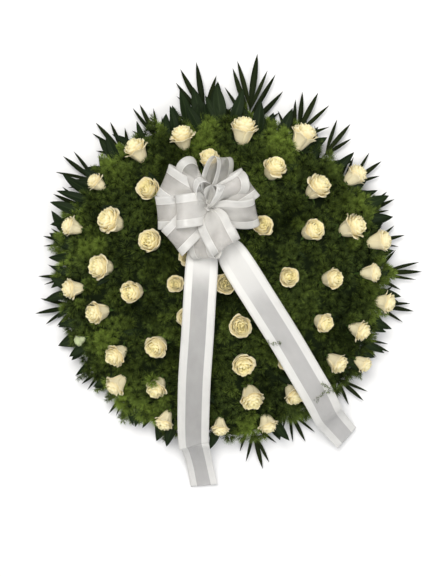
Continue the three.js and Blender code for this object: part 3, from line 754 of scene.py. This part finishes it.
def fern_clumps(draw, apart, size):
    """The rounded clumps of fern: the middle, the way out, the radius, the tone and the painted
    shade.
    """
    clumps = []
    arc, last = 0.0, bed_point(0, 0)
    for step in range(1, 900):
        angle = step / 10
        spot = bed_point(0, angle)
        arc += (spot - last).length
        last = spot
        if arc < apart * 0.86:
            continue
        arc = 0.0
        count = max(1, round(2 * pi * hypot(spot.x, spot.y) / apart))
        spin = draw.uniform(0, 360)
        for k in range(count):
            degrees = spin + 360 * (k + draw.uniform(-0.3, 0.3)) / count
            place = bed_point(degrees, min(89.5, max(0.5, angle + draw.uniform(-2, 2))))
            normal = bed_normal(place)
            radius = size * draw.uniform(0.75, 1.2)
            wave = noise.noise(place * 0.02)
            middle = place + normal * (1 + 10 * wave + draw.uniform(-3, 4))
            middle.z = min(middle.z, ceiling(middle) - 1.25 * radius)
            room = rose_room(middle)
            if room < 2:
                continue
            radius = min(radius, 8 + room)
            nearest = min(math.dist(young, middle[:2]) for young in BRIGHT_FERN)
            bright_share = math.exp(-((nearest / 32) ** 2))
            patch = noise.noise(place * 0.02 + Vector((7, 3, 1)))
            tone = bright_share * 0.95 + 0.6 * patch + draw.uniform(-0.12, 0.25)
            # Painted shade and light: a slow noise darkens some clumps and lightens others,
            # standing in for the fern's dark gaps and lit clumps.
            shade = 0.82 + 1.0 * noise.noise(place * 0.013 + Vector((2, 9, 4)))
            clumps.append((middle, normal, radius, tone, shade))
    # The clumps that bulge out are painted a little lighter, as lit, with a shade of 1.1.
    for x, y, lift, radius in POMPOMS:
        spot = bed_top(math.degrees(math.atan2(y, x)), hypot(x, y))
        normal = bed_normal(spot)
        clumps.append((Vector((x, y, spot.z)) + normal * lift, normal, radius, 0.8, 1.1))
    return clumps


def fern_sprigs(draw):
    """Twigs that stand out of the bed and past the rim, as clumps that get smaller outwards."""
    clumps = []
    for k in range(SPRIGS):
        degrees = draw.uniform(0, 360)
        angle = draw.uniform(0, 14) if k % 2 else draw.uniform(8, 80)
        start = bed_point(degrees, angle, 2)
        normal = bed_normal(start)
        out = (normal + polar(degrees + draw.uniform(-60, 60), 0.8)).normalized()
        long = draw.uniform(16, 30)
        tone = draw.uniform(-0.1, 0.7)
        tip = start + out * long
        covered = rose_room(start + out * long * 0.6) < 6 or tip.z + 8 > ceiling(tip)
        if covered or (angle < 20 and SPRIG_GAP[0] < degrees < SPRIG_GAP[1]):
            continue
        for j in range(6):
            share = j / 5
            spot = start + out * long * share - UP * 7 * share * share
            clumps.append((spot, out, lerp(12, 6, share), tone, 1.0))
    for points in SPRIG_PATHS:
        places = [Vector(row) for row in curve(points, TWIG_STEPS)]
        for j, (spot, ahead) in enumerate(zip(places, [*places[1:], places[-1] + UP])):
            out = (ahead - spot).normalized()
            clumps.append((spot, out, lerp(3.6, 2.2, j / TWIG_STEPS), 0.3, 1.0))
    return clumps


def needles(clumps, in_bundle, draw):
    """Flat needles, each one triangle, in bundles that radiate from each clump's inside. Their
    tip marks carry painted shade: dark at the roots and on bundles that face into the clump.
    """
    each = [max(3, round(0.34 * clump[2] ** 2)) for clump in clumps]
    middle, way, radius, tone, shade = (
        np.repeat(np.array(column), each, axis=0) for column in zip(*clumps)
    )
    bundle = unit(unit(draw.normal(size=middle.shape)) + 0.6 * way)
    # Painted light: bundles that face out of the clump are painted lighter than those that face
    # into it, times the clump's painted shade.
    painted_light = (0.12 + 0.88 * np.clip((bundle * way).sum(axis=1), 0, 1)) * shade
    centre = middle + bundle * (radius * draw.uniform(0.15, 0.55, len(radius)))[:, None]
    tone = tone + draw.normal(scale=0.12, size=len(tone))

    total = len(centre) * in_bundle
    centre, bundle = np.repeat(centre, in_bundle, axis=0), np.repeat(bundle, in_bundle, axis=0)
    radius, tone, painted_light = (np.repeat(row, in_bundle) for row in (radius, tone, painted_light))
    tone = tone + 0.6 * (draw.random(total) > 0.86)
    aim = unit(unit(draw.normal(size=(total, 3))) * 0.32 + bundle)
    long = (np.minimum(6.0, radius) + radius * draw.uniform(0.2, 0.55, total))[:, None]
    start = centre + aim * draw.uniform(0.0, 3.0, total)[:, None]
    wide = unit(np.cross(aim, draw.normal(size=(total, 3))))
    wide *= draw.uniform(0.26, 0.42, total)[:, None]
    points = np.stack([start - wide, start + aim * long, start + wide], axis=1)
    faces = np.arange(3 * total).reshape(-1, 3)
    # Painted shade: each needle is dark at its two root corners, and its tip is as light as its
    # bundle's painted light.
    tips = (np.array([[0.05, 1.0, 0.05]]) * painted_light[:, None]).ravel()
    tones = np.clip(np.repeat(tone, 3), 0, 1)
    return points.reshape(-1, 3), faces, {"tip": tips, "tone": tones}


def unit(rows):
    return rows / np.linalg.norm(rows, axis=1, keepdims=True)


def triangle_mesh(name, points, faces, marks):
    mesh = bpy.data.meshes.new(name)
    mesh.vertices.add(len(points))
    mesh.vertices.foreach_set("co", (points * MM).astype(np.float32).ravel())
    mesh.loops.add(faces.size)
    mesh.loops.foreach_set("vertex_index", faces.astype(np.int32).ravel())
    mesh.polygons.add(len(faces))
    mesh.polygons.foreach_set("loop_start", np.arange(0, faces.size, 3, dtype=np.int32))
    mesh.update(calc_edges=True)
    for mark, values in marks.items():
        data = mesh.attributes.new(mark, "FLOAT", "POINT").data
        data.foreach_set("value", values.astype(np.float32))
    return mesh


def quarter_of(degrees):
    return QUARTERS[round(degrees % 360 / 90) % 4]


def round_the_middle(spot):
    """How far round the wreath a spot is, in degrees from the right."""
    return math.degrees(math.atan2(spot.y, spot.x))


def make_fern(settings):
    make_fern_core()
    draw = random.Random(41)
    clumps = fern_clumps(draw, settings.clump_apart / MM, settings.clump_radius / MM)
    clumps += fern_sprigs(draw)
    for number, quarter in enumerate(QUARTERS):
        own = [clump for clump in clumps if quarter_of(round_the_middle(clump[0])) == quarter]
        points, faces, marks = needles(own, settings.needles, np.random.default_rng(90 + number))
        name = f"fern_needles_{quarter}"
        mesh = triangle_mesh(name, points, faces, marks)
        dress(name, mesh, ["fern needle"], [f"fern_{quarter}"])


# Leaves round the rim

def add_blade(
    maker, where, long, half, fold, droop, tone, steps=8, sides=1, slot=0, full=0.75, bend=0.0
):
    """A leaf along +X of where: folded up along its rib, and drooping towards its tip."""
    columns = 2 * sides + 1
    points, along, side = [], [], []
    for j in range(steps):
        share = j / (steps - 1)
        width = half * sin(pi * min(0.999, 0.03 + 0.97 * share) ** full) ** 0.85
        for i in range(columns):
            s = i / sides - 1
            rise = fold * width * abs(s) ** 1.2 - droop * long * share * share
            level = s * width + bend * long * share * share
            points.append(Vector((share * long, level, rise)))
            along.append(share)
            side.append(s)
    faces = quads(columns, steps)
    maker.add(points, faces, slot, where, along=along, side=side, tone=tone, tip=along)


def add_frond(maker, frond, draw):
    """A palm frond: its rib, the pairs of leaflets along it and the one at its end."""
    root, points, tip, blade, pairs, rise = frond
    where = turned(polar(root, LEAF_ROOT, FROND_LEVEL), points)
    rib = tip - LEAF_ROOT - 0.92 * blade
    whole = rib + blade
    climb = math.tan(radians(rise))

    def rib_height(x):
        out = max(0.0, x - RIB_BARE) / whole
        return climb * max(0.0, x - RIB_BARE) + 16 * out * (1 - out)

    path = [Vector((x, 0, rib_height(x))) for x in np.linspace(0, 0.72 * rib, 9)]
    stalk = tube([where @ p for p in path], [1.6 - 0.13 * k for k in range(9)])
    maker.add(*stalk, tone=0.5)
    last = 0.70 * rib
    for k in range(pairs):
        share = k / (pairs - 1)
        x = lerp(RIB_BARE * 0.9, last, share)
        spread = lerp(60, 20, share**0.9)
        long = (whole - x) * lerp(0.46, 0.93, share)
        for hand in (-1, 1):
            turn = hand * (spread + draw.uniform(-6, 6))
            start = (x + 4 * hand, 0, rib_height(x))
            local = turned(start, turn, -draw.uniform(-4, 7), draw.uniform(-30, 30))
            length = long * draw.uniform(0.84, 1.04)
            half = draw.uniform(0.044, 0.060) * length
            add_blade(
                maker, where @ local, length, half, 0.45, draw.uniform(0.0, 0.04),
                draw.random(), full=1.0, bend=draw.uniform(-0.07, 0.07),
            )
    end = Matrix.Translation((last, 0, rib_height(last)))
    long = whole - last
    add_blade(maker, where @ end, long, 0.06 * long, 0.5, 0.02, draw.random(), full=1.0)


def make_bed_leaves():
    """Dark leaves that come up between the clumps of fern and over its edge."""
    draw = random.Random(83)
    maker = Maker()
    for degrees, radius, points, rise, long, wide in BED_LEAVES:
        start = bed_top(degrees, radius) - UP * 6
        where = turned(start, points, rise, draw.uniform(-25, 25))
        add_blade(
            maker, where, long, wide / 2, 0.3, draw.uniform(0.1, 0.3), draw.random(),
            steps=14, sides=3, full=0.85, bend=draw.uniform(-0.12, 0.12),
        )
    for k in range(UNDER_LEAVES):
        degrees = 360 * (k + draw.uniform(-0.4, 0.4)) / UNDER_LEAVES
        if UNDER_GAP[0] < degrees < UNDER_GAP[1]:
            continue
        start = bed_top(degrees, draw.uniform(318, 345)) - UP * 8
        points = degrees + draw.uniform(-38, 38)
        where = turned(start, points, draw.uniform(0, 12), draw.uniform(-35, 35))
        long = draw.uniform(54, 76) * (0.72 if 190 < degrees < 330 else 1.0)
        add_blade(
            maker, where, long, draw.uniform(8, 13) * long / 65, 0.3, draw.uniform(0.1, 0.35),
            draw.random(), steps=10, sides=2, full=0.85, bend=draw.uniform(-0.15, 0.15),
        )
    maker.piece("bed_leaves", ["broad leaf"], "leaf", thick=LEAF_THICK)


def make_rim_leaves():
    for quarter in QUARTERS:
        draw = random.Random(f"leaves {quarter}")
        maker = Maker()
        for frond in FRONDS:
            if quarter_of(frond[0]) == quarter:
                add_frond(maker, frond, draw)
        for root, points, long in BROAD_LEAVES:
            if quarter_of(root) == quarter:
                where = turned(polar(root, LEAF_ROOT, BROAD_LEVEL), points, 3)
                add_blade(
                    maker, where, long, 0.2 * long, 0.22, 0.03, draw.random(),
                    steps=14, sides=3, slot=1, full=0.8,
                )
        looks, node = ["palm leaflet", "broad leaf"], f"rim_leaves_{quarter}"
        maker.piece(f"rim_foliage_{quarter}", looks, "leaf", [node], LEAF_THICK)


# Ribbon

def ribbon_row(middle, along, across, width, columns, pleats=0.0, arch=0.0):
    """One row of points over the ribbon's width, with its pleats and its arch."""
    face = across.cross(along).normalized()
    row = []
    for i in range(columns):
        u = 2 * i / (columns - 1) - 1
        wave = pleats * cos(u * pi * 2.5) - arch * u * u
        row.append(middle + across * (u * width / 2) + face * wave)
    return row


def add_ribbon(maker, rows, columns):
    """A strip of ribbon from its rows of points, with marks across and along it."""
    points = [p for row in rows for p in row]
    across = [2 * i / (columns - 1) - 1 for _ in rows for i in range(columns)]
    length, run = [], 0.0
    for k, row in enumerate(rows):
        if k:
            run += (row[columns // 2] - rows[k - 1][columns // 2]).length * MM
        length.extend([run] * columns)
    maker.add(points, quads(columns, len(rows)), across=across, length=length)
    return run


def way(turn, rise):
    """A direction from its turn and its rise in degrees."""
    return polar(turn, cos(radians(rise)), sin(radians(rise)))


def add_loop(maker, loop, full_width, draw):
    """One loop of the bow: narrow and pleated at the knot, and flat where it turns back."""
    turn, rise, reach, opening, width_turn, width_rise = loop
    out, across = way(turn, rise), way(width_turn, width_rise)
    up = out.cross(across).normalized()
    steps, columns, start = 48, 17, 0.4
    middles, spreads = [], []
    for i in range(steps + 1):
        angle = lerp(start, 2 * pi - start, i / steps)
        far = sin(angle / 2)
        spot = KNOT + out * (reach * (1 - cos(angle)) / 2)
        middles.append(spot + up * (opening * 1.5 * sin(angle) * far))
        spreads.append(far)
    sway = draw.uniform(-4, 4)
    rows = []
    for i, (middle, far) in enumerate(zip(middles, spreads)):
        along = along_at(middles, i)
        flat = (across - along * across.dot(along)).normalized()
        width = lerp(22, full_width, smooth((far - 0.25) / 0.5))
        pleats = 2.8 * (1 - smooth((far - 0.45) / 0.45))
        bent = middle + across * sway * smooth(far)
        rows.append(ribbon_row(bent, along, flat, width, columns, pleats, 2.0 * far))
    return add_ribbon(maker, rows, columns)


def make_bow(settings):
    draw = random.Random(12)
    maker = Maker()
    length = sum(add_loop(maker, loop, settings.ribbon_width / MM, draw) for loop in LOOPS)
    columns, steps = 13, 28
    rows = []
    for i in range(steps + 1):
        angle = 2 * pi * i / steps
        x, z = cos(angle), sin(angle)
        spot = KNOT + Vector((x, 0.25 * z, z)).normalized() * (KNOT_RADIUS - 1)
        along = Vector((-z, 0.25 * x, x)).normalized()
        rows.append(ribbon_row(spot, along, Vector((0, 1, 0)), 24, columns, 1.2, -2.0))
    length += add_ribbon(maker, rows, columns)
    looks, nodes = ["bow satin and sheer"], ["ribbon_bow"]
    bow = maker.piece("ribbon_bow_loops", looks, "ribbon", nodes, RIBBON_THICK)


def curve(points, steps):
    """Rows of numbers along a Catmull-Rom curve through the points."""
    last = len(points) - 1
    rows = []
    for step in range(steps + 1):
        place = last * step / steps
        k = min(last - 1, int(place))
        t = place - k
        a, b, c, d = (points[min(last, max(0, k + n))] for n in (-1, 0, 1, 2))
        rows.append([
            q + 0.5 * t * (r - p + t * (2 * p - 5 * q + 4 * r - s + t * (3 * (q - r) + s - p)))
            for p, q, r, s in zip(a, b, c, d)
        ])
    return rows


def make_tail(side, points, seed, settings):
    """A tail of ribbon along its points, pleated near the knot and slightly rippled."""
    draw = random.Random(seed)
    steps, columns = 110, 17
    phase = draw.uniform(0, 6.28)
    stations = curve(points, steps)
    middles = [Vector(station[:3]) for station in stations]
    rows = []
    for i, (*_, width, twist) in enumerate(stations):
        along = along_at(middles, i)
        across = Vector((-along.y, along.x, 0)).normalized()
        ripple = 1.4 * sin(i * 0.19 + phase) * (1 - i / steps)
        twist = radians(twist + 2.0 * sin(i * 0.11 + phase))
        across = Matrix.Rotation(twist, 3, along) @ across
        pleats = 2.2 * (1 - smooth(i / 14))
        width *= settings.ribbon_width / RIBBON_WIDTH
        rows.append(
            ribbon_row(middles[i] + UP * ripple, along, across, width, columns, pleats, -1.2)
        )
    maker = Maker()
    length = add_ribbon(maker, rows, columns)
    looks, nodes = [f"{side} satin and sheer"], [f"ribbon_tail_{side}"]
    tail = maker.piece(f"tail_{side}", looks, "ribbon", nodes, RIBBON_THICK)


def make_base():
    """The foam, its backing and the bow's pick keep their solids."""
    looks = {"foam": "floral foam", "backing": "pressed backing", "bow_pick": "dyed wood pick"}
    for node, look in looks.items():
        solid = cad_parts[node]
        solid.data.materials.clear()
        solid.data.materials.append(finish_named(look))


# The stage

# The picture's height in pixels, a pixel's size in metres among the heads, and the height of the
# camera's sensor in millimetres. Then, in metres, the point straight under the camera that it
# looks at, the point that the lights aim at and half the floor's width.
PICTURE_HEIGHT, PIXEL, SENSOR = 577, 0.0022, 36.0
LOOKED_AT = Vector((-0.0117, -0.0253, 0.090))
LIT = Vector((0.0, 0.0, 0.05))
FLOOR_HALF = 6.0


def add_light(name, where, size, power, colour):
    data = bpy.data.lights.new(name, "AREA")
    data.shape, data.size, data.energy, data.color = "DISK", size, power, colour
    light = bpy.data.objects.new(name, data)
    light.location = where
    light.rotation_euler = (LIT - Vector(where)).to_track_quat("-Z", "Y").to_euler()
    bpy.context.scene.collection.objects.link(light)


def make_stage(settings):
    mesh = bpy.data.meshes.new("floor")
    half = FLOOR_HALF
    corners = [(-half, -half, 0), (half, -half, 0), (half, half, 0), (-half, half, 0)]
    mesh.from_pydata(corners, [], [range(4)])
    finish = Finish("pale floor", Roughness=0.9)
    tone = finish.cloud(3.0)
    finish.feed(Base_Color=finish.blend(tone, (0.86, 0.86, 0.86), (0.88, 0.88, 0.88)))
    mesh.materials.append(finish.material)
    floor = bpy.data.objects.new("floor", mesh)
    bpy.context.scene.collection.objects.link(floor)
    add_light("key", (-0.35, 0.8, 3.0), 1.5, settings.key_power, (1.0, 0.98, 0.95))
    add_light("fill", (0.8, -0.9, 2.9), 2.2, settings.fill_power, (0.97, 0.98, 1.0))
    scene = bpy.context.scene
    scene.world = scene.world or bpy.data.worlds.new("studio")
    scene.world.use_nodes = True
    sky = scene.world.node_tree.nodes["Background"]
    sky.inputs["Color"].default_value = (1.0, 1.0, 1.0, 1.0)
    sky.inputs["Strength"].default_value = settings.sky
    scene.view_settings.view_transform = "Standard"
    camera = bpy.data.objects.new("camera", bpy.data.cameras.new("camera"))
    camera.data.sensor_fit = "VERTICAL"
    camera.data.sensor_height = SENSOR
    camera.data.lens = SENSOR * settings.distance / (PICTURE_HEIGHT * PIXEL)
    camera.location = LOOKED_AT + UP * settings.distance
    scene.collection.objects.link(camera)
    scene.camera = camera


def colour(name, default):
    return bpy.props.FloatVectorProperty(
        name=name, description=f"Colour of the {name.lower()}", default=default,
        subtype="COLOR", size=3, min=0.0, max=1.0,
    )


def number(name, description, default, low, high, subtype="DISTANCE"):
    return bpy.props.FloatProperty(
        name=name, description=description, default=default, min=low, max=high, subtype=subtype
    )


class WreathSettings(bpy.types.PropertyGroup):
    petal_outer: colour("Outer petals", (0.87, 0.76, 0.48))
    # The inner petals are painted lighter than the outer ones: their own yellow, and painted light
    # in the shaded heart.
    petal_heart_lit: colour("Inner petals", (1.0, 0.89, 0.42))
    # The needles' roots are painted near black: painted shade deep in the clumps.
    fern_shaded_root: colour("Needles' roots", (0.002, 0.005, 0.001))
    fern_tip: colour("Needles' tips", (0.128, 0.186, 0.050))
    fern_bright: colour("Bright fern", (0.36, 0.50, 0.08))
    palm_dark: colour("Darkest palm leaves", (0.004, 0.008, 0.0025))
    palm_light: colour("Lightest palm leaves", (0.017, 0.024, 0.0065))
    leaf_dark: colour("Darkest broad leaves", (0.004, 0.009, 0.003))
    leaf_light: colour("Lightest broad leaves", (0.012, 0.022, 0.006))
    sheer: colour("Bow's sheer band", (0.76, 0.73, 0.69))
    tail_sheer: colour("Tails' sheer band", (0.52, 0.51, 0.50))
    satin: colour("Satin borders", (0.72, 0.71, 0.675))
    bow_cover: number("Bow cover", "How much its sheer band hides", 0.20, 0.05, 0.9, "FACTOR")
    tail_cover: number("Tail cover", "How much their sheer bands hide", 0.74, 0.2, 0.9, "FACTOR")
    ribbon_width: number("Ribbon width", "Width of the ribbon", RIBBON_WIDTH, 0.04, 0.09)
    clump_apart: number("Clump spacing", "From one clump to the next", 0.024, 0.015, 0.06)
    clump_radius: number("Clump radius", "Radius of a clump of fern", 0.0165, 0.008, 0.03)
    needles: bpy.props.IntProperty(
        name="Needles", description="Needles in each bundle of a clump", default=5, min=2, max=7
    )
    stem_length: number("Stem length", "Length of a rose's stem", 0.044, 0.02, 0.05)
    distance: number("Camera distance", "From the heads to the camera", 2.3, 0.5, 20.0)
    key_power: number("Key light", "Power of the light over the top", 70.0, 0.0, 1000.0, "POWER")
    fill_power: number("Fill light", "Power of the light from below", 36.0, 0.0, 1000.0, "POWER")
    sky: number("Sky", "Strength of the even light all round", 0.42, 0.0, 5.0, "NONE")


class WREATH_OT_base(bpy.types.Operator):
    """Finish the backing, the foam and the bow's pick"""

    bl_idname = "wreath.base"
    bl_label = "Base"

    def execute(self, context):
        make_base()
        return {"FINISHED"}


class WREATH_OT_fern(bpy.types.Operator):
    """Grow the bed of feathery fern"""

    bl_idname = "wreath.fern"
    bl_label = "Fern"

    def execute(self, context):
        make_fern(context.scene.wreath)
        make_bed_leaves()
        return {"FINISHED"}


class WREATH_OT_rim_leaves(bpy.types.Operator):
    """Lay the palm fronds and the broad leaves round the rim"""

    bl_idname = "wreath.rim_leaves"
    bl_label = "Rim leaves"

    def execute(self, context):
        make_rim_leaves()
        return {"FINISHED"}


class WREATH_OT_roses(bpy.types.Operator):
    """Make the roses and the bud"""

    bl_idname = "wreath.roses"
    bl_label = "Roses"

    def execute(self, context):
        make_roses(context.scene.wreath)
        return {"FINISHED"}


class WREATH_OT_ribbon(bpy.types.Operator):
    """Tie the bow and lay its two tails"""

    bl_idname = "wreath.ribbon"
    bl_label = "Ribbon"

    def execute(self, context):
        settings = context.scene.wreath
        make_bow(settings)
        make_tail("left", TAIL_LEFT, 5, settings)
        make_tail("right", TAIL_RIGHT, 6, settings)
        return {"FINISHED"}


class WREATH_OT_stage(bpy.types.Operator):
    """Set the floor, the lights and the camera"""

    bl_idname = "wreath.stage"
    bl_label = "Stage"

    def execute(self, context):
        make_stage(context.scene.wreath)
        return {"FINISHED"}


class WREATH_PT_panel(bpy.types.Panel):
    bl_label = "Wreath"
    bl_idname = "WREATH_PT_panel"
    bl_space_type = "VIEW_3D"
    bl_region_type = "UI"
    bl_category = "Wreath"

    def draw(self, context):
        for name in WreathSettings.__annotations__:
            self.layout.prop(context.scene.wreath, name)
        for operator in OPERATORS:
            self.layout.operator(operator.bl_idname)


OPERATORS = (
    WREATH_OT_stage,
    WREATH_OT_base,
    WREATH_OT_fern,
    WREATH_OT_rim_leaves,
    WREATH_OT_roses,
    WREATH_OT_ribbon,
)
CLASSES = (WreathSettings, *OPERATORS, WREATH_PT_panel)


def register():
    for item in CLASSES:
        bpy.utils.register_class(item)
    bpy.types.Scene.wreath = bpy.props.PointerProperty(type=WreathSettings)


def unregister():
    del bpy.types.Scene.wreath
    for item in reversed(CLASSES):
        bpy.utils.unregister_class(item)


def main():
    register()
    for operator in OPERATORS:
        group, name = operator.bl_idname.split(".")
        getattr(getattr(bpy.ops, group), name)()


if __name__ == "__main__":
    main()
